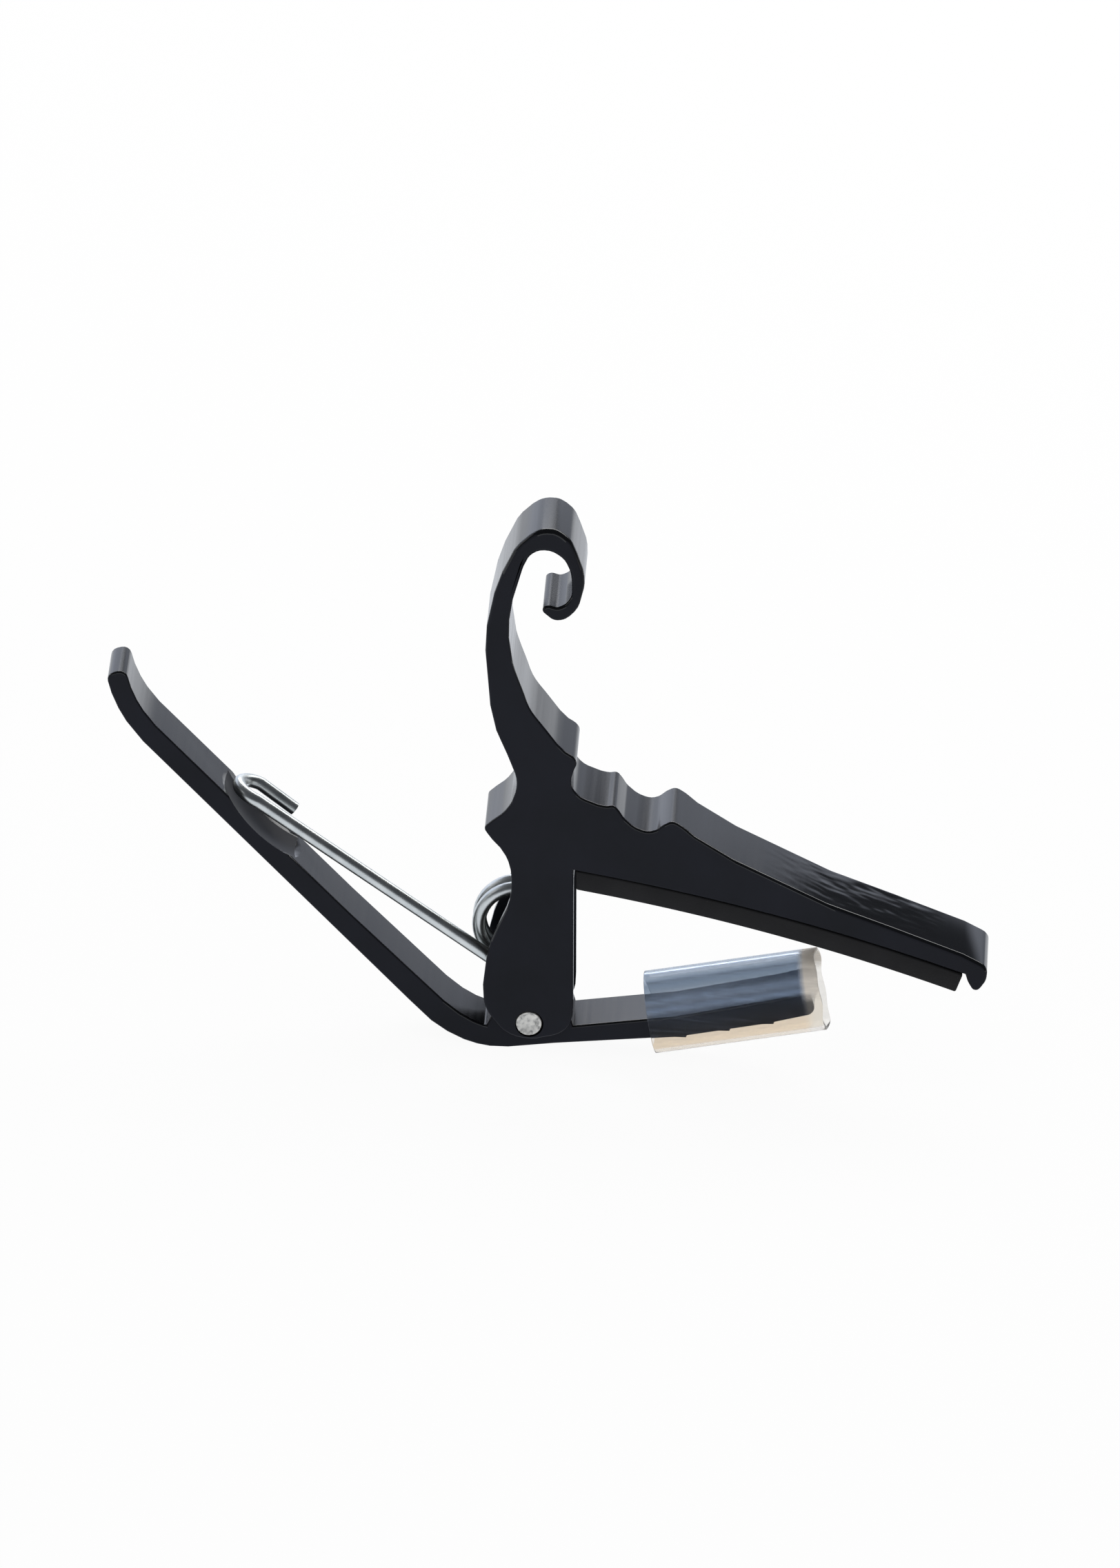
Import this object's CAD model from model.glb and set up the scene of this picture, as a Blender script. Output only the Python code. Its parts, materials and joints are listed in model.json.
"""Studio picture of a trigger capo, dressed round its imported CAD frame."""

import json
import math

import bpy
from mathutils import Matrix, Vector


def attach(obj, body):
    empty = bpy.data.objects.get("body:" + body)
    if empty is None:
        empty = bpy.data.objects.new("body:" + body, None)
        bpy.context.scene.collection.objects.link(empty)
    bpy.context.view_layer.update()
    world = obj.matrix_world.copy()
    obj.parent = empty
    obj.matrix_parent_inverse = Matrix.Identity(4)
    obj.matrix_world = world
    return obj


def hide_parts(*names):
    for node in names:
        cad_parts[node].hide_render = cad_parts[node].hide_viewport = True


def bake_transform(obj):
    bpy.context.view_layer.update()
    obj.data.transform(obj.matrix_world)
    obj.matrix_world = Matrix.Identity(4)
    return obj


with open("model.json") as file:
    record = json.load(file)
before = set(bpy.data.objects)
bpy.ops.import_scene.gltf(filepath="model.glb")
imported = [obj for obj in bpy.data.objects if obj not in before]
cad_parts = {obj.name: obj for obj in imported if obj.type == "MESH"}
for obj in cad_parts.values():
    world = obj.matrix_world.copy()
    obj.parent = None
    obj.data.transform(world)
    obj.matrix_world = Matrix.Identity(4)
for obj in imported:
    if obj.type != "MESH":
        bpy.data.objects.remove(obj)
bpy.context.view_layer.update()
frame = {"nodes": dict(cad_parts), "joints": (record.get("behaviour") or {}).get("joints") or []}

MM = 0.001

# ---- The capo's drawing: pivot at the origin, fork upright; it stands leaned back by LEAN
JOINTS = {joint["name"]: joint for joint in frame["joints"]}
PIVOT = Vector(JOINTS["lever_pivot"]["pos_m"])
LEAN = math.radians(5.905)
DRAWING = Matrix.Translation(PIVOT) @ Matrix.Rotation(-LEAN, 4, "Y")

# ---- Arm and lever, in millimetres on the drawing
WELD = 1e-6  # metres
FLAT_WITHIN = math.radians(0.2)
NECK_CUTS = (57.0, 55.6, 54.2, 52.8, 51.6, 46.9, 45.9, 44.9)
NECK_TURN = 49.3  # height at which the solid's right flank turns sharply
NECK_REACH = 8.0
NECK_MIDDLE = -3.0
NECK_EASE = 0.6
NECK_FLANK = Vector((0.9, 0.0, 0.44))  # out of the flank at the turn
HANDLE_SLOPE = math.radians(132.7)
SCOOP_MIDDLE = (-38.6, 30.3)
SCOOP_REACH = 8.0
SCOOP_LEVELS = (-2.0, -0.12)  # lowest and highest, from the handle's top
SCOOP_HALF_WIDTH = 4.0

# Which faces are flat sides: by the sideways share of the normal, and for lower edges also by its rise
FLAT_SIDE = 0.97
LOWER_EDGE_RISE = 0.2
LOWER_EDGE_TURN = 0.1

# ---- String pad
PAD_CURVE_RADIUS = 330.0
PAD_THICKNESS = 2.95
PAD_HALF_WIDTH = 6.15
PAD_LEFT = 7.1
PAD_RIGHT = 62.9
PAD_TOE_SLANT = 1.1
PAD_CENTRE = (-57.596, -302.439)  # of the arc that the pad is bent to
PAD_STATIONS = 28
PAD_EDGE = 0.28

# ---- Neck sleeve
SLEEVE_START = (17.4, -0.85)
SLEEVE_TILT = math.radians(8.8)
SLEEVE_LENGTH = 25.5
SLEEVE_RADIUS = 6.04
SLEEVE_WALL = 0.53
SLEEVE_RIM = 0.1
SLEEVE_SIDES = 96
SLEEVE_RINGS = 24
CUT_RAGGEDNESS = 0.16
CUT_SHARE = 0.1  # the last part of the length, which the ragged cut draws in
CUT_WAVES = ((3.0, 0.6, 1.0), (7.0, 0.0, 0.6))  # round the cut: how many, where they start, how high
BRUISE = (22.4, 23.4)  # along the sleeve, where the white bruise of the cut comes in
VINYL_TINTS = [
    (0.0, "#f1e5d3"),
    (0.36, "#ece4d9"),
    (0.62, "#e3e5e8"),
    (0.8, "#d6dce2"),
    (0.88, "#8c98a5"),
    (0.94, "#828e9b"),
    (0.97, "#c8d0d8"),
    (1.0, "#e0e5ea"),
]  # by height, from the sleeve's underside to its top
VINYL_SCUFFS = [(0.64, 0.0), (0.69, 0.5), (0.73, 0.1), (0.79, 0.42), (0.84, 0.05)]

# ---- Pivot rivet
RIVET_RADIUS = 1.95
RIVET_HALF_LENGTH = 6.25
RIVET_SIDES = 64
RIVET_CHAMFER = 0.25
RIVET_RIM = 0.35
RIVET_END_FACING = 0.99  # how squarely an end face looks along the rivet
RIVET_DISH = 0.12

# ---- Torsion spring
WIRE_RADIUS = 1.0
WIRE_ROUNDNESS = 6
COIL_CENTRE = (-1.3, 13.4)
COIL_RADIUS = 5.95
COIL_PITCH = 2.74
COIL_TURNS = 2
POINTS_PER_TURN = 40
SHORT_LEG_TOP = 26.05
SHORT_LEG_SHARES = (1.0, 0.75, 0.5, 0.25)  # from its top down to the coil
LONG_LEG_ANGLE = math.radians(143.6)
LONG_LEG_LENGTH = 41.1
LONG_LEG_DEPTH = -3.05
LONG_LEG_STEPS = 16
HOOK_BEND = 3.2
HOOK_TILT = math.radians(154.0)
HOOK_STEPS = 24
HOOK_TAIL = 6.3
TAIL_TILT = math.radians(-39.0)
TAIL_STEPS = 5

# ---- Camera: from the front and above, rolled as the photograph is
PHOTO_HEIGHT = 2274
LENS_PIXELS = 27965.0
CAMERA_DISTANCE = 2792.0
CAMERA_ELEVATION = math.radians(23.7)
CAMERA_ROLL = math.radians(5.608)
AIM_RIGHT = 1.121
AIM_UP = 34.998
SENSOR = 36.0
CLIP = (0.05, 20.0)

# ---- Coating: where along the frame's X, in millimetres, it pools, and where its ripples die out
POOLED = (30.0, 40.0)
RIPPLE_END = (53.0, 59.0)

# ---- Studio, in metres. The wall's edge is a level of WALL_SLOPE on the way a mirror looks
PAPER_SIZE = 24.0
PAPER_SHARE = 0.94
PAPER_DULL = (0.0, 0.03)  # to the right of the two diagonals through the middle
PAPER_DULL_SHARE = 0.1
PAPER_RADIANCE = 1.12
WALL_SLOPE = (0.38, 0.0, 1.0)
WALL_EDGE = (0.388, 0.412)
WALL_DEPTH = (0.0, 0.35)
WALL_RADIANCE = 1.3
WALL_RIGHT = (0.2, 0.42)
WALL_RIGHT_SHARE = 0.3
ROOM_RADIANCE = 0.08
DOME_RADIANCE = 0.6
SOFTBOXES = {
    "back softbox": {"place": (0.22, 0.74, 0.66), "size": (1.1, 0.3), "radiance": 4.5},
    "left softbox": {"place": (-0.8, -0.1, 0.35), "size": (0.5, 0.5), "radiance": 0.8},
}
SOFTBOX_AIM = Vector((0.0, 0.0, 0.03))


# ---- Modelling helpers


def clear_selection():
    if bpy.context.object is not None and bpy.context.object.mode != "OBJECT":
        bpy.ops.object.mode_set(mode="OBJECT")
    bpy.ops.object.select_all(action="DESELECT")


def pick(piece):
    clear_selection()
    piece.select_set(True)
    bpy.context.view_layer.objects.active = piece


def edit(piece):
    """Opens the piece for editing with all of it selected."""
    pick(piece)
    bpy.ops.object.mode_set(mode="EDIT")
    bpy.ops.mesh.select_all(action="SELECT")


def done():
    bpy.ops.object.mode_set(mode="OBJECT")


def named(name):
    piece = bpy.context.object
    piece.name = name
    piece.data.name = name
    return piece


def apply_modifier(piece, kind, **settings):
    pick(piece)
    bpy.ops.object.modifier_add(type=kind)
    modifier = piece.modifiers[-1]
    for key, value in settings.items():
        setattr(modifier, key, value)
    bpy.ops.object.modifier_apply(modifier=modifier.name)


def ease_edges(piece, width_mm, segments, above_degrees):
    """Rounds every edge that turns more than above_degrees."""
    limit = math.radians(above_degrees)
    apply_modifier(
        piece, "BEVEL", width=width_mm * MM, segments=segments, limit_method="ANGLE", angle_limit=limit
    )


def smooth(piece, degrees):
    pick(piece)
    bpy.ops.object.shade_smooth_by_angle(angle=math.radians(degrees))


def settle(piece, place):
    """Puts the piece where place says, with its place in its mesh."""
    piece.data.transform(place @ piece.matrix_world)
    piece.matrix_world = Matrix.Identity(4)


def outward(piece):
    edit(piece)
    bpy.ops.mesh.normals_make_consistent(inside=False)
    done()


def dress(piece, body, material, slot, *nodes):
    """Gives the piece its material, the CAD nodes it stands for, its finish and the body it rides on."""
    piece.data.materials.clear()
    piece.data.materials.append(material)
    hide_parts(*nodes)
    if body:
        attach(piece, body)
    return piece


def polar(angle, radius=1.0):
    return Vector((math.cos(angle), math.sin(angle))) * radius


# ---- Material helpers


def linear(code):
    """An sRGB hex colour as linear red, green, blue and alpha."""
    parts = [int(code[i : i + 2], 16) / 255 for i in (1, 3, 5)]
    return [c / 12.92 if c <= 0.04045 else ((c + 0.055) / 1.055) ** 2.4 for c in parts] + [1.0]


def add_node(tree, kind, settings=None, links=None):
    """Adds a node. Settings are its properties, its inputs by name or number, or a ramp's stops: a place and
    a hex colour or grey level. A link feeds an input from a socket, or from another node's first output."""
    node = tree.nodes.new(kind)
    for key, value in (settings or {}).items():
        if key == "stops":
            while len(node.color_ramp.elements) < len(value):
                node.color_ramp.elements.new(0.5)
            for element, (place, colour) in zip(node.color_ramp.elements, value):
                element.position = place
                element.color = linear(colour) if isinstance(colour, str) else (colour, colour, colour, 1.0)
        elif isinstance(key, str) and hasattr(node, key):
            setattr(node, key, value)
        else:
            node.inputs[key].default_value = value
    for key, source in (links or {}).items():
        tree.links.new(source.outputs[0] if isinstance(source, bpy.types.Node) else source, node.inputs[key])
    return node


def new_material(name):
    """An empty node material, its tree and its output node."""
    material = bpy.data.materials.new(name)
    material.use_nodes = True
    tree = material.node_tree
    tree.nodes.clear()
    return material, tree, add_node(tree, "ShaderNodeOutputMaterial")


def pattern(tree, size_mm, stretch=(1.0, 1.0, 1.0), turn=0.0, detail=3.0):
    """Noise on Object coordinates with features about size_mm across, stretched along each axis."""
    place = add_node(tree, "ShaderNodeTexCoord").outputs["Object"]
    scale = [1.0 / (size_mm * MM * s) for s in stretch]
    settings = {"Scale": scale, "Rotation": (0.0, turn, 0.0)}
    laid = add_node(tree, "ShaderNodeMapping", settings, {"Vector": place})
    return add_node(tree, "ShaderNodeTexNoise", {"Scale": 1.0, "Detail": detail}, {"Vector": laid})


# ---- Materials


def coating_on_flat_sides():
    """Stove-cured black coating over the blasted flat sides: satin, with a slight orange peel."""
    material, tree, output = new_material("satin black coating on blasted aluminium")
    peel = pattern(tree, size_mm=0.5, detail=2.0)
    drift = pattern(tree, size_mm=9.0)
    stops = [(0.3, "#17191f"), (0.7, "#1e2028")]
    colour = add_node(tree, "ShaderNodeValToRGB", {"stops": stops}, {"Fac": drift})
    rough = add_node(tree, "ShaderNodeMath", {"operation": "MULTIPLY_ADD", 1: 0.2, 2: 0.35}, {0: drift})
    orange_peel = add_node(tree, "ShaderNodeBump", {"Distance": 0.01 * MM, "Strength": 0.4}, {"Height": peel})
    shader = add_node(
        tree,
        "ShaderNodeBsdfPrincipled",
        {"Metallic": 0.0, "IOR": 1.5, "Specular IOR Level": 0.13},
        {"Base Color": colour, "Roughness": rough, "Normal": orange_peel},
    )
    tree.links.new(shader.outputs["BSDF"], output.inputs["Surface"])
    return material


def coating_on_cut_faces():
    """The same coating over faces cut through the thickness. It keeps the faint lines of the saw and die, and
    towards the arm's end it has pooled into a thick, glossy and slightly rippled film."""
    material, tree, output = new_material("gloss black coating on sawn aluminium")
    lines = pattern(tree, size_mm=0.7, stretch=(1.0, 60.0, 1.0), detail=2.0)
    drift = pattern(tree, size_mm=9.0)
    place = add_node(tree, "ShaderNodeTexCoord").outputs["Object"]
    along = add_node(tree, "ShaderNodeSeparateXYZ", {}, {"Vector": place}).outputs["X"]
    start, full = (x * MM for x in POOLED)
    pooled = add_node(tree, "ShaderNodeMapRange", {"From Min": start, "From Max": full}, {"Value": along})
    bare = add_node(tree, "ShaderNodeMath", {"operation": "SUBTRACT", 0: 1.0}, {1: pooled})
    streaks = add_node(tree, "ShaderNodeMath", {"operation": "MULTIPLY"}, {0: lines, 1: bare})
    start, full = (x * MM for x in RIPPLE_END)
    fading = {"From Min": start, "From Max": full, "To Min": 1.0, "To Max": 0.0}
    calm = add_node(tree, "ShaderNodeMapRange", fading, {"Value": along})
    ripple = pattern(tree, size_mm=2.6, stretch=(1.5, 1.0, 1.5), detail=1.0)
    ripple = add_node(tree, "ShaderNodeMath", {"operation": "MULTIPLY"}, {0: ripple, 1: calm})
    ripple = add_node(tree, "ShaderNodeMath", {"operation": "MULTIPLY"}, {0: ripple, 1: pooled})
    stops = [(0.3, "#08090b"), (0.7, "#0d0e11")]
    colour = add_node(tree, "ShaderNodeValToRGB", {"stops": stops}, {"Fac": drift})
    grain = add_node(tree, "ShaderNodeMath", {"operation": "MULTIPLY", 1: 0.16}, {0: streaks})
    satin = add_node(tree, "ShaderNodeMath", {"operation": "MULTIPLY_ADD", 1: 0.06, 2: 0.05}, {0: bare})
    rough = add_node(tree, "ShaderNodeMath", {"operation": "ADD"}, {0: grain, 1: satin})
    lined = add_node(tree, "ShaderNodeBump", {"Distance": 0.012 * MM, "Strength": 0.35}, {"Height": streaks})
    rippled = add_node(
        tree, "ShaderNodeBump", {"Distance": 0.03 * MM, "Strength": 1.0}, {"Height": ripple, "Normal": lined}
    )
    shader = add_node(
        tree,
        "ShaderNodeBsdfPrincipled",
        {"Metallic": 0.0, "IOR": 1.5, "Specular IOR Level": 0.5},
        {"Base Color": colour, "Roughness": rough, "Normal": rippled},
    )
    tree.links.new(shader.outputs["BSDF"], output.inputs["Surface"])
    return material


def moulded_rubber():
    """Moulded black rubber, dead matt, with the fine grain of its mould."""
    material, tree, output = new_material("moulded black rubber")
    grain = pattern(tree, size_mm=0.25, detail=2.0)
    bloom = pattern(tree, size_mm=6.0, detail=4.0)
    stops = [(0.3, "#18181a"), (0.7, "#202022")]
    colour = add_node(tree, "ShaderNodeValToRGB", {"stops": stops}, {"Fac": bloom})
    grained = add_node(tree, "ShaderNodeBump", {"Distance": 0.03 * MM, "Strength": 0.6}, {"Height": grain})
    shader = add_node(
        tree,
        "ShaderNodeBsdfPrincipled",
        {"Metallic": 0.0, "IOR": 1.5, "Roughness": 0.72, "Specular IOR Level": 0.3},
        {"Base Color": colour, "Normal": grained},
    )
    tree.links.new(shader.outputs["BSDF"], output.inputs["Surface"])
    return material


def bright_zinc():
    """Bright zinc plate on drawn spring wire: a soft mirror, slightly clouded. The fine grain of the plate is
    drawn coarser than it is, so that it shows."""
    material, tree, output = new_material("bright zinc plated spring wire")
    cloud = pattern(tree, size_mm=2.5)
    plate = pattern(tree, size_mm=0.3)
    stops = [(0.3, "#bfc4c4"), (0.7, "#dadddb")]
    colour = add_node(tree, "ShaderNodeValToRGB", {"stops": stops}, {"Fac": cloud})
    rough = add_node(tree, "ShaderNodeMath", {"operation": "MULTIPLY_ADD", 1: 0.12, 2: 0.28}, {0: cloud})
    textured = add_node(tree, "ShaderNodeBump", {"Distance": 0.004 * MM, "Strength": 0.2}, {"Height": plate})
    shader = add_node(
        tree,
        "ShaderNodeBsdfPrincipled",
        {"Metallic": 1.0},
        {"Base Color": colour, "Roughness": rough, "Normal": textured},
    )
    tree.links.new(shader.outputs["BSDF"], output.inputs["Surface"])
    return material


def upset_steel():
    """Plain steel rivet end, pressed to size: satin, with small dull pits from the press tool."""
    material, tree, output = new_material("pressed satin steel")
    pits = pattern(tree, size_mm=0.7, detail=4.0)
    stops = [(0.35, "#8e8d89"), (0.5, "#c4c2bc"), (0.7, "#dad7cf")]
    colour = add_node(tree, "ShaderNodeValToRGB", {"stops": stops}, {"Fac": pits})
    pitted = add_node(tree, "ShaderNodeBump", {"Distance": 0.06 * MM, "Strength": 0.8}, {"Height": pits})
    shader = add_node(
        tree,
        "ShaderNodeBsdfPrincipled",
        {"Metallic": 1.0, "Roughness": 0.42},
        {"Base Color": colour, "Normal": pitted},
    )
    tree.links.new(shader.outputs["BSDF"], output.inputs["Surface"])
    return material


def clear_vinyl():
    """Extruded clear PVC tube. Seen against white it is warm below, where it is cleanest, and blue-grey above,
    where it is scuffed. Its slight milkiness looks navy over black metal. The die leaves fine lines along it,
    and the cut end is bruised white. The wall is thin and soft, so it bends and mirrors light only a little."""
    material, tree, output = new_material("extruded clear vinyl")
    turned = Matrix.Rotation(-LEAN - SLEEVE_TILT, 3, "Y")
    start = DRAWING @ (Vector((SLEEVE_START[0], 0.0, SLEEVE_START[1])) * MM)
    place = add_node(tree, "ShaderNodeTexCoord").outputs["Object"]
    seat = add_node(tree, "ShaderNodeVectorMath", {"operation": "SUBTRACT", 1: start}, {0: place})
    up = {"operation": "DOT_PRODUCT", 1: turned @ Vector((0.0, 0.0, 1.0))}
    rise = add_node(tree, "ShaderNodeVectorMath", up, {0: seat}).outputs["Value"]
    right = {"operation": "DOT_PRODUCT", 1: turned @ Vector((1.0, 0.0, 0.0))}
    reach = add_node(tree, "ShaderNodeVectorMath", right, {0: seat}).outputs["Value"]
    radius = SLEEVE_RADIUS * MM
    height = add_node(tree, "ShaderNodeMapRange", {"From Min": -radius, "From Max": radius}, {"Value": rise})
    first, last = (x * MM for x in BRUISE)
    bruised = add_node(tree, "ShaderNodeMapRange", {"From Min": first, "From Max": last}, {"Value": reach})
    lines = pattern(tree, size_mm=0.45, stretch=(40.0, 1.0, 1.0), turn=SLEEVE_TILT + LEAN)
    surface = add_node(tree, "ShaderNodeBump", {"Distance": 0.02 * MM, "Strength": 0.4}, {"Height": lines})

    tint = add_node(tree, "ShaderNodeValToRGB", {"stops": VINYL_TINTS}, {"Fac": height})
    clear = add_node(
        tree, "ShaderNodeMix", {"data_type": "RGBA", "B": linear("#f4efe6")}, {"Factor": bruised, "A": tint}
    )
    glass = add_node(
        tree,
        "ShaderNodeBsdfPrincipled",
        {"Transmission Weight": 1.0, "Roughness": 0.06, "IOR": 1.13},
        {"Base Color": clear.outputs["Result"], "Normal": surface},
    )

    # The milkiness follows the die lines and the scuffs, and the bruise is whitest towards the top
    stops = [(0.4, 0.004), (0.6, 0.02), (0.75, 0.08)]
    milk = add_node(tree, "ShaderNodeValToRGB", {"stops": stops}, {"Fac": lines})
    scuffs = add_node(tree, "ShaderNodeValToRGB", {"stops": VINYL_SCUFFS}, {"Fac": height})
    scuffs = add_node(tree, "ShaderNodeMath", {"operation": "MULTIPLY"}, {0: scuffs, 1: lines})
    milk = add_node(tree, "ShaderNodeMath", {"operation": "ADD"}, {0: milk, 1: scuffs})
    upper = {"From Min": 0.55, "From Max": 0.72, "To Min": 0.06, "To Max": 0.6}
    bruise = add_node(tree, "ShaderNodeMapRange", upper, {"Value": height})
    bruise = add_node(tree, "ShaderNodeMath", {"operation": "MULTIPLY"}, {0: bruised, 1: bruise})
    share = add_node(tree, "ShaderNodeMath", {"operation": "ADD"}, {0: milk, 1: bruise})
    whiteness = add_node(
        tree,
        "ShaderNodeMix",
        {"data_type": "RGBA", "A": linear("#a9bdd8"), "B": linear("#fbf4ea")},
        {"Factor": bruised},
    )
    haze = add_node(
        tree, "ShaderNodeBsdfDiffuse", {}, {"Color": whiteness.outputs["Result"], "Normal": surface}
    )
    mixed = add_node(tree, "ShaderNodeMixShader", {}, {0: share, 1: glass, 2: haze})
    tree.links.new(mixed.outputs["Shader"], output.inputs["Surface"])
    return material


def white_paper():
    """Seamless white paper. The camera and clear plastic see it near white, and it keeps a soft shadow. A
    mirror sees it white too, but dull in a wedge to the right of the capo, where the studio is unlit."""
    material, tree, output = new_material("white paper")
    path = add_node(tree, "ShaderNodeLightPath")
    mirror = path.outputs["Is Glossy Ray"]
    place = add_node(tree, "ShaderNodeTexCoord").outputs["Object"]
    sides = add_node(tree, "ShaderNodeSeparateXYZ", {}, {"Vector": place})
    depth = add_node(tree, "ShaderNodeMath", {"operation": "ABSOLUTE"}, {0: sides.outputs["Y"]})
    aside = add_node(tree, "ShaderNodeMath", {"operation": "SUBTRACT"}, {0: sides.outputs["X"], 1: depth})
    dulling = {"From Min": PAPER_DULL[0], "From Max": PAPER_DULL[1], "To Min": 1.0, "To Max": PAPER_DULL_SHARE}
    lit = add_node(tree, "ShaderNodeMapRange", dulling, {"Value": aside})
    mirrored = add_node(tree, "ShaderNodeMath", {"operation": "MULTIPLY"}, {0: mirror, 1: lit})
    seen = add_node(
        tree,
        "ShaderNodeMath",
        {"operation": "MAXIMUM"},
        {0: path.outputs["Is Camera Ray"], 1: path.outputs["Is Transmission Ray"]},
    )
    seen = add_node(tree, "ShaderNodeMath", {"operation": "MAXIMUM"}, {0: seen, 1: mirrored})
    share = add_node(tree, "ShaderNodeMath", {"operation": "MULTIPLY", 1: PAPER_SHARE}, {0: seen})
    paper = add_node(tree, "ShaderNodeBsdfDiffuse", {"Color": linear("#f4f4f4")})
    cool = add_node(
        tree,
        "ShaderNodeMix",
        {"data_type": "RGBA", "A": linear("#ffffff"), "B": linear("#f0f4fb")},
        {"Factor": mirror},
    )
    level = add_node(tree, "ShaderNodeMapRange", {"To Min": 1.0, "To Max": PAPER_RADIANCE}, {"Value": mirror})
    glow = add_node(tree, "ShaderNodeEmission", {}, {"Color": cool.outputs["Result"], "Strength": level})
    mixed = add_node(tree, "ShaderNodeMixShader", {}, {0: share, 1: paper, 2: glow})
    tree.links.new(mixed.outputs["Shader"], output.inputs["Surface"])
    return material


# ---- Upper arm and lever, which keep the form of their solids


def refined_copy(node, name):
    """The CAD node's form as a welded mesh, with its flats in one face each and its roundings shaded smooth."""
    source = frame["nodes"][node]
    piece = source.copy()
    piece.data = source.data.copy()
    bpy.context.scene.collection.objects.link(piece)
    place = source.matrix_world.copy()
    piece.parent = None
    piece.matrix_world = place
    for key in list(piece.keys()):
        if key.startswith("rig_"):
            del piece[key]
    pick(piece)
    named(name)
    edit(piece)
    bpy.ops.mesh.remove_doubles(threshold=WELD)
    bpy.ops.mesh.dissolve_limited(angle_limit=FLAT_WITHIN)
    done()
    settle(piece, Matrix.Identity(4))
    if node == "upper_arm":
        ease_neck(piece)
    smooth(piece, degrees=38)
    apply_modifier(piece, "WEIGHTED_NORMAL", keep_sharp=True, weight=100)
    return piece


def ease_neck(piece):
    """Cuts the neck at a few heights and spreads the turn in its right flank over them."""
    turned = DRAWING.to_3x3()
    edit(piece)
    for height in NECK_CUTS:
        bpy.ops.mesh.select_all(action="SELECT")
        bpy.ops.mesh.bisect(
            plane_co=DRAWING @ Vector((0.0, 0.0, height * MM)), plane_no=turned @ Vector((0.0, 0.0, 1.0))
        )
    done()
    to_drawing = DRAWING.inverted()
    move = turned @ NECK_FLANK * NECK_EASE * MM
    for vertex in piece.data.vertices:
        place = to_drawing @ vertex.co / MM
        away = abs(place.z - NECK_TURN) / NECK_REACH
        if away < 1.0 and place.x > NECK_MIDDLE:
            vertex.co += move * (0.5 + 0.5 * math.cos(math.pi * away))


def in_scoop(face):
    """True for a face just below the handle's top, near the scoop's middle."""
    centre = DRAWING.inverted() @ face.center / MM
    from_middle = Vector((centre.x - SCOOP_MIDDLE[0], centre.z - SCOOP_MIDDLE[1]))
    along = abs(from_middle.dot(polar(HANDLE_SLOPE)))
    level = from_middle.dot(polar(HANDLE_SLOPE - math.pi / 2))
    if along >= SCOOP_REACH or abs(face.center.y) >= SCOOP_HALF_WIDTH * MM:
        return False
    return SCOOP_LEVELS[0] < level < SCOOP_LEVELS[1]


def coat_cut_faces(piece, material):
    """Gives the second coating to every face but the flat sides, their lower edges and the scoop under the
    spring's hook, which keep the first."""
    piece.data.materials.append(material)
    for face in piece.data.polygons:
        sideways = abs(face.normal.y)
        lower_edge = face.normal.z < LOWER_EDGE_RISE and sideways > LOWER_EDGE_TURN
        face.material_index = 0 if sideways > FLAT_SIDE or lower_edge or in_scoop(face) else 1


# ---- String pad


def pad_point(x, down):
    """Where the pad's arc passes a drawing X, a distance below its top: the drawing's X and Z."""
    radius = PAD_CURVE_RADIUS + PAD_THICKNESS - down
    across = x - PAD_CENTRE[0]
    return x, PAD_CENTRE[1] + math.sqrt(radius * radius - across * across)


def build_pad():
    """A rubber strip cut from extrusion, bent to the seat: square edges eased by wear, toe cut on a slant."""
    clear_selection()
    bpy.ops.mesh.primitive_cube_add(size=1.0)
    pad = named("rubber_string_pad")
    edit(pad)
    for i in range(1, PAD_STATIONS):
        bpy.ops.mesh.select_all(action="SELECT")
        bpy.ops.mesh.bisect(plane_co=(i / PAD_STATIONS - 0.5, 0.0, 0.0), plane_no=(1.0, 0.0, 0.0))
    done()
    for vertex in pad.data.vertices:
        share = vertex.co.x + 0.5
        down = (0.5 - vertex.co.z) * PAD_THICKNESS
        right = PAD_RIGHT - PAD_TOE_SLANT * (0.5 - vertex.co.z)
        x, z = pad_point(PAD_LEFT + (right - PAD_LEFT) * share, down)
        vertex.co = Vector((x, vertex.co.y * 2 * PAD_HALF_WIDTH, z)) * MM
    settle(pad, DRAWING)
    ease_edges(pad, PAD_EDGE, segments=3, above_degrees=50)
    outward(pad)
    smooth(pad, degrees=40)
    return pad


# ---- Neck sleeve


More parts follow.
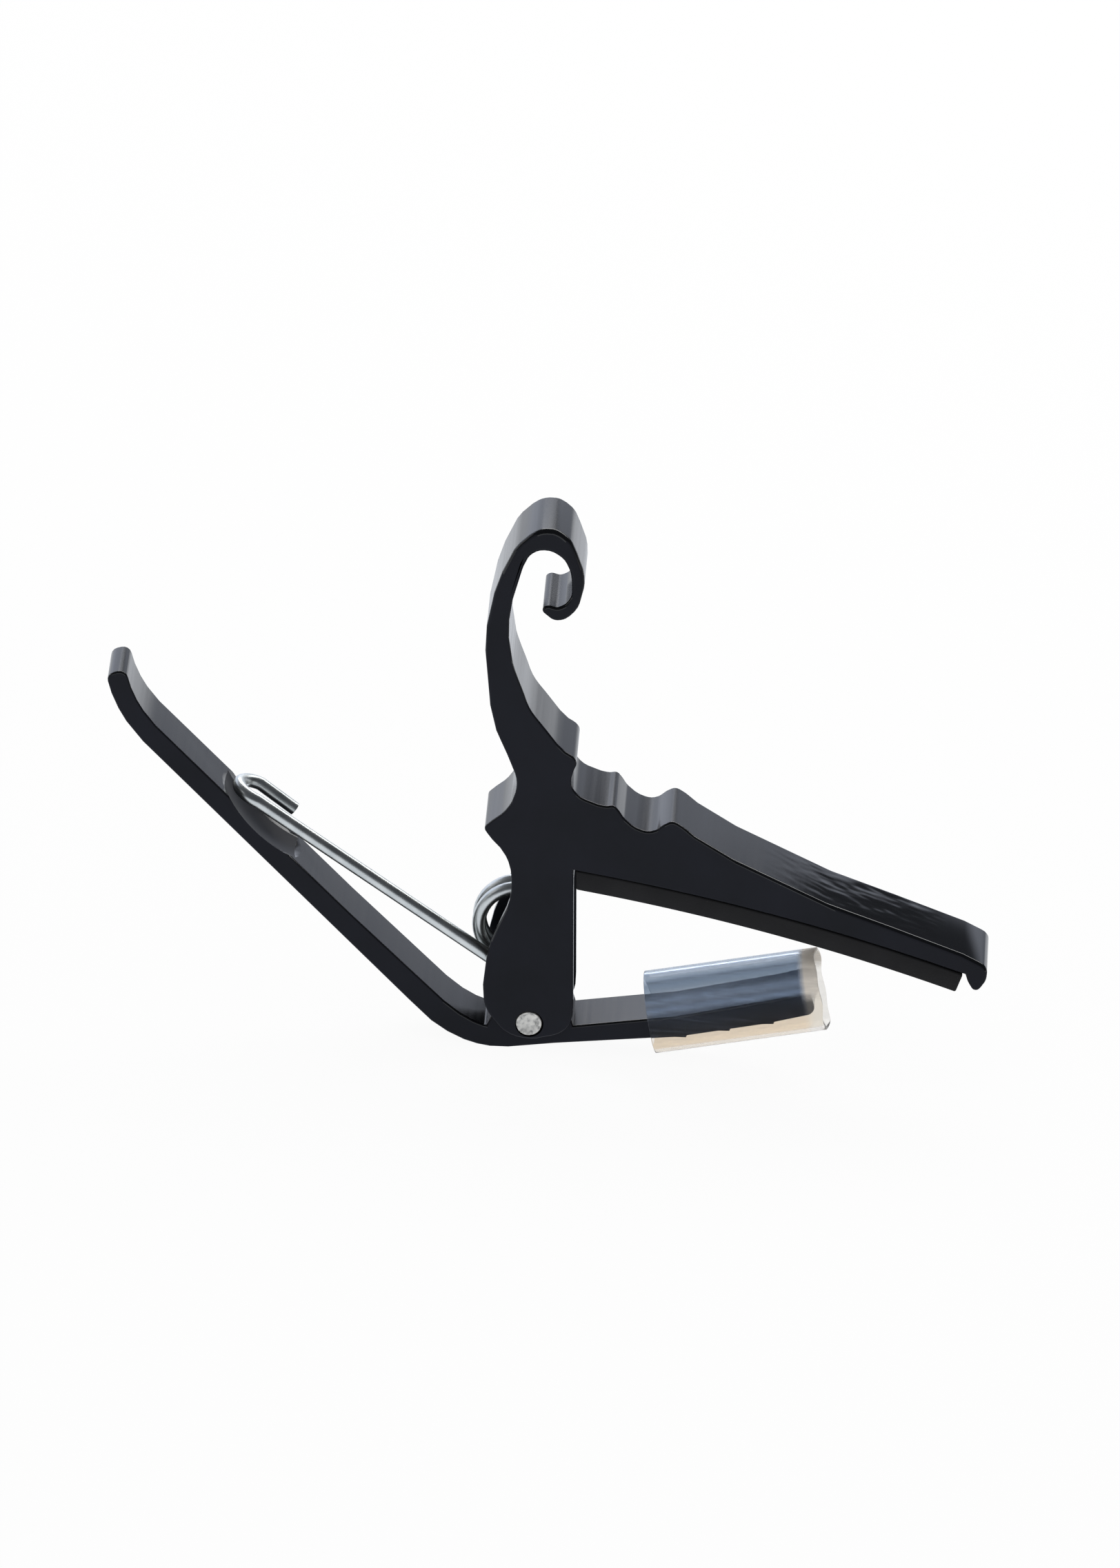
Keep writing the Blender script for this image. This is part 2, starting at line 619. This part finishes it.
def build_sleeve():
    """A length of clear tube, extruded ring by ring from a circle, given its wall and its ragged cut end."""
    clear_selection()
    length = SLEEVE_LENGTH * MM
    bpy.ops.mesh.primitive_circle_add(vertices=SLEEVE_SIDES, radius=SLEEVE_RADIUS * MM, fill_type="NOTHING")
    sleeve = named("clear_neck_sleeve")
    edit(sleeve)
    step = SLEEVE_LENGTH / SLEEVE_RINGS * MM
    for _ in range(SLEEVE_RINGS):
        bpy.ops.mesh.extrude_region_move(TRANSFORM_OT_translate={"value": (0.0, 0.0, step)})
    done()
    outward(sleeve)
    apply_modifier(sleeve, "SOLIDIFY", thickness=SLEEVE_WALL * MM, offset=-1.0)
    ease_edges(sleeve, SLEEVE_RIM, segments=2, above_degrees=50)
    highest = sum(height for _, _, height in CUT_WAVES)
    for vertex in sleeve.data.vertices:
        around = math.atan2(vertex.co.y, vertex.co.x)
        share = max(0.0, vertex.co.z / length - (1.0 - CUT_SHARE)) / CUT_SHARE
        wave = sum(height * math.sin(count * around + start) for count, start, height in CUT_WAVES)
        vertex.co.z += share * CUT_RAGGEDNESS * MM * (wave - highest)
    turn = Matrix.Rotation(math.pi / 2 - SLEEVE_TILT, 4, "Y")
    start = Matrix.Translation(Vector((SLEEVE_START[0], 0.0, SLEEVE_START[1])) * MM)
    settle(sleeve, DRAWING @ start @ turn)
    outward(sleeve)
    smooth(sleeve, degrees=40)
    return sleeve


# ---- Pivot rivet


def build_rivet():
    """A plain pin with chamfered ends, each pressed slightly hollow."""
    clear_selection()
    bpy.ops.mesh.primitive_cylinder_add(
        vertices=RIVET_SIDES,
        radius=RIVET_RADIUS * MM,
        depth=2 * RIVET_HALF_LENGTH * MM,
        rotation=(math.pi / 2, 0.0, 0.0),
    )
    rivet = named("satin_pivot_rivet")
    settle(rivet, DRAWING)
    ease_edges(rivet, RIVET_CHAMFER, segments=3, above_degrees=60)
    for side in (-1.0, 1.0):
        edit(rivet)
        bpy.ops.mesh.select_all(action="DESELECT")
        done()
        for face in rivet.data.polygons:
            face.select = face.normal.y * side > RIVET_END_FACING
        pick(rivet)
        bpy.ops.object.mode_set(mode="EDIT")
        bpy.ops.mesh.inset(thickness=RIVET_RIM * MM)
        bpy.ops.transform.translate(value=(0.0, -side * RIVET_DISH * MM, 0.0))
        done()
    smooth(rivet, degrees=35)
    return rivet


# ---- Torsion spring


def wire_route():
    """The wire's middle line on the drawing: short leg, coil, long leg, hook and tail."""
    centre = Vector(COIL_CENTRE)
    exit_angle = LONG_LEG_ANGLE + math.pi / 2 - 2 * math.pi
    sweep = COIL_TURNS * 2 * math.pi - exit_angle
    short_leg_depth = LONG_LEG_DEPTH + COIL_PITCH * sweep / (2 * math.pi)
    side = centre + polar(0.0, COIL_RADIUS)
    route = []
    for share in SHORT_LEG_SHARES:
        route.append((side.x, short_leg_depth, side.y + (SHORT_LEG_TOP - side.y) * share))
    steps = round(sweep / (2 * math.pi) * POINTS_PER_TURN)
    for i in range(steps + 1):
        share = i / steps
        point = centre + polar(-sweep * share, COIL_RADIUS)
        route.append((point.x, short_leg_depth + (LONG_LEG_DEPTH - short_leg_depth) * share, point.y))
    leave = centre + polar(exit_angle, COIL_RADIUS)
    along = polar(LONG_LEG_ANGLE)
    for i in range(1, LONG_LEG_STEPS + 1):
        point = leave + along * LONG_LEG_LENGTH * i / LONG_LEG_STEPS
        route.append((point.x, LONG_LEG_DEPTH, point.y))
    knee = leave + along * (LONG_LEG_LENGTH + WIRE_RADIUS)
    hook = polar(HOOK_TILT)
    middle = LONG_LEG_DEPTH + HOOK_BEND
    for i in range(HOOK_STEPS + 1):
        angle = math.pi * i / HOOK_STEPS
        point = knee + hook * HOOK_BEND * math.sin(angle)
        route.append((point.x, middle - HOOK_BEND * math.cos(angle), point.y))
    for i in range(1, TAIL_STEPS + 1):
        point = knee + polar(TAIL_TILT, HOOK_TAIL * i / TAIL_STEPS)
        route.append((point.x, middle + HOOK_BEND, point.y))
    return [Vector(p) * MM for p in route]


def build_spring():
    """One length of round wire bent on its route, with the sheared ends left square."""
    clear_selection()
    bpy.ops.curve.primitive_nurbs_path_add()
    spring = named("zinc_torsion_spring")
    curve = spring.data
    curve.splines.clear()
    route = wire_route()
    spline = curve.splines.new("POLY")
    spline.points.add(len(route) - 1)
    for point, place in zip(spline.points, route):
        point.co = (*place, 1.0)
    spline.use_smooth = True
    curve.dimensions = "3D"
    curve.bevel_depth = WIRE_RADIUS * MM
    curve.bevel_resolution = WIRE_ROUNDNESS
    curve.use_fill_caps = True
    pick(spring)
    bpy.ops.object.convert(target="MESH")
    spring = named("zinc_torsion_spring")
    edit(spring)
    bpy.ops.mesh.remove_doubles(threshold=WELD)
    done()
    settle(spring, DRAWING)
    outward(spring)
    smooth(spring, degrees=45)
    return spring


# ---- Stage


def build_stage():
    """White paper under the capo, the room round it and two soft lamps."""
    clear_selection()
    bpy.ops.mesh.primitive_plane_add(size=PAPER_SIZE)
    floor = named("paper_floor")
    floor.data.materials.append(white_paper())
    build_room()
    for name, softbox in SOFTBOXES.items():
        add_softbox(name, **softbox)


def build_room():
    """The room round the set. The camera and clear plastic see it white. A mirror sees a white wall behind
    the set, whose upper edge falls to the right, and a dim room above it and in front."""
    world = bpy.data.worlds.new("white studio")
    bpy.context.scene.world = world
    world.use_nodes = True
    tree = world.node_tree
    tree.nodes.clear()
    path = add_node(tree, "ShaderNodeLightPath")
    mirror = path.outputs["Is Glossy Ray"]
    towards = add_node(tree, "ShaderNodeTexCoord").outputs["Generated"]
    slope = {"operation": "DOT_PRODUCT", 1: WALL_SLOPE}
    height = add_node(tree, "ShaderNodeVectorMath", slope, {0: towards}).outputs["Value"]
    parts = add_node(tree, "ShaderNodeSeparateXYZ", {}, {"Vector": towards})
    over_room = WALL_RADIANCE - ROOM_RADIANCE
    edge = {"From Min": WALL_EDGE[0], "From Max": WALL_EDGE[1], "To Min": over_room, "To Max": 0.0}
    wall = add_node(tree, "ShaderNodeMapRange", edge, {"Value": height})
    behind = {"From Min": WALL_DEPTH[0], "From Max": WALL_DEPTH[1]}
    behind = add_node(tree, "ShaderNodeMapRange", behind, {"Value": parts.outputs["Y"]})
    wall = add_node(tree, "ShaderNodeMath", {"operation": "MULTIPLY"}, {0: wall, 1: behind})
    dim = {"From Min": WALL_RIGHT[0], "From Max": WALL_RIGHT[1], "To Min": 1.0, "To Max": WALL_RIGHT_SHARE}
    dim = add_node(tree, "ShaderNodeMapRange", dim, {"Value": parts.outputs["X"]})
    wall = add_node(tree, "ShaderNodeMath", {"operation": "MULTIPLY"}, {0: wall, 1: dim})
    room = add_node(tree, "ShaderNodeMath", {"operation": "ADD", 1: ROOM_RADIANCE}, {0: wall})
    mirrored = add_node(tree, "ShaderNodeMath", {"operation": "MULTIPLY"}, {0: room, 1: mirror})
    seen = add_node(
        tree,
        "ShaderNodeMath",
        {"operation": "MAXIMUM"},
        {0: path.outputs["Is Camera Ray"], 1: path.outputs["Is Transmission Ray"]},
    )
    met = add_node(tree, "ShaderNodeMath", {"operation": "MAXIMUM"}, {0: seen, 1: mirror})
    unseen = add_node(tree, "ShaderNodeMath", {"operation": "SUBTRACT", 0: 1.0}, {1: met})
    dome = add_node(tree, "ShaderNodeMath", {"operation": "MULTIPLY", 1: DOME_RADIANCE}, {0: unseen})
    strength = add_node(tree, "ShaderNodeMath", {"operation": "ADD"}, {0: seen, 1: mirrored})
    strength = add_node(tree, "ShaderNodeMath", {"operation": "ADD"}, {0: strength, 1: dome})
    cool = add_node(
        tree,
        "ShaderNodeMix",
        {"data_type": "RGBA", "A": linear("#ffffff"), "B": linear("#e8efff")},
        {"Factor": mirror},
    )
    light = {"Color": cool.outputs["Result"], "Strength": strength}
    background = add_node(tree, "ShaderNodeBackground", {}, light)
    output = add_node(tree, "ShaderNodeOutputWorld")
    tree.links.new(background.outputs["Background"], output.inputs["Surface"])


def add_softbox(name, place, size, radiance):
    """A soft rectangular lamp that faces the capo."""
    clear_selection()
    bpy.ops.object.light_add(type="AREA", location=place)
    lamp = bpy.context.object
    lamp.name = name
    lamp.data.shape = "RECTANGLE"
    lamp.data.size, lamp.data.size_y = size
    lamp.data.energy = radiance * math.pi * size[0] * size[1]
    lamp.rotation_euler = (SOFTBOX_AIM - lamp.location).to_track_quat("-Z", "Y").to_euler()
    lamp.visible_camera = False


def build_camera():
    """A long lens, aimed at a point in the plane of the rivet's front end."""
    clear_selection()
    bpy.ops.object.camera_add()
    camera = bpy.context.object
    camera.name = "photograph"
    back = Vector((0.0, -math.cos(CAMERA_ELEVATION), math.sin(CAMERA_ELEVATION)))
    right = Vector((1.0, 0.0, 0.0))
    up = Vector((0.0, math.sin(CAMERA_ELEVATION), math.cos(CAMERA_ELEVATION)))
    rivet_end = PIVOT + Vector((0.0, -RIVET_HALF_LENGTH * MM, 0.0))
    aim = rivet_end + (right * AIM_RIGHT + up * AIM_UP) * MM
    camera.location = aim + back * CAMERA_DISTANCE * MM
    level = (-back).to_track_quat("-Z", "Y").to_matrix().to_4x4()
    camera.matrix_world = Matrix.Translation(camera.location) @ level @ Matrix.Rotation(CAMERA_ROLL, 4, "Z")
    camera.data.sensor_width = SENSOR
    camera.data.lens = LENS_PIXELS * SENSOR / PHOTO_HEIGHT
    camera.data.clip_start, camera.data.clip_end = CLIP
    bpy.context.scene.camera = camera


# ---- The capo


def build_capo():
    """The six pieces, each on its body. The spring's coil winds up between the arm and the long leg."""
    flat = coating_on_flat_sides()
    cut = coating_on_cut_faces()
    arm = refined_copy("upper_arm", "black_upper_arm")
    dress(arm, "upper_arm", flat, "arm_coating", "upper_arm")
    coat_cut_faces(arm, cut)
    lever = refined_copy("lever", "black_lever")
    dress(lever, "lever", flat, "lever_coating", "lever")
    coat_cut_faces(lever, cut)
    dress(build_pad(), "upper_arm", moulded_rubber(), "pad_rubber", "string_pad")
    dress(build_rivet(), "upper_arm", upset_steel(), "rivet_steel", "pivot_rivet")
    dress(build_sleeve(), "lever", clear_vinyl(), "sleeve_vinyl", "neck_sleeve")
    spring = dress(build_spring(), None, bright_zinc(), "spring_steel", "torsion_spring")
    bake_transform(spring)


build_capo()
build_stage()
build_camera()

bpy.context.scene.view_settings.view_transform = "Standard"
bpy.context.view_layer.update()
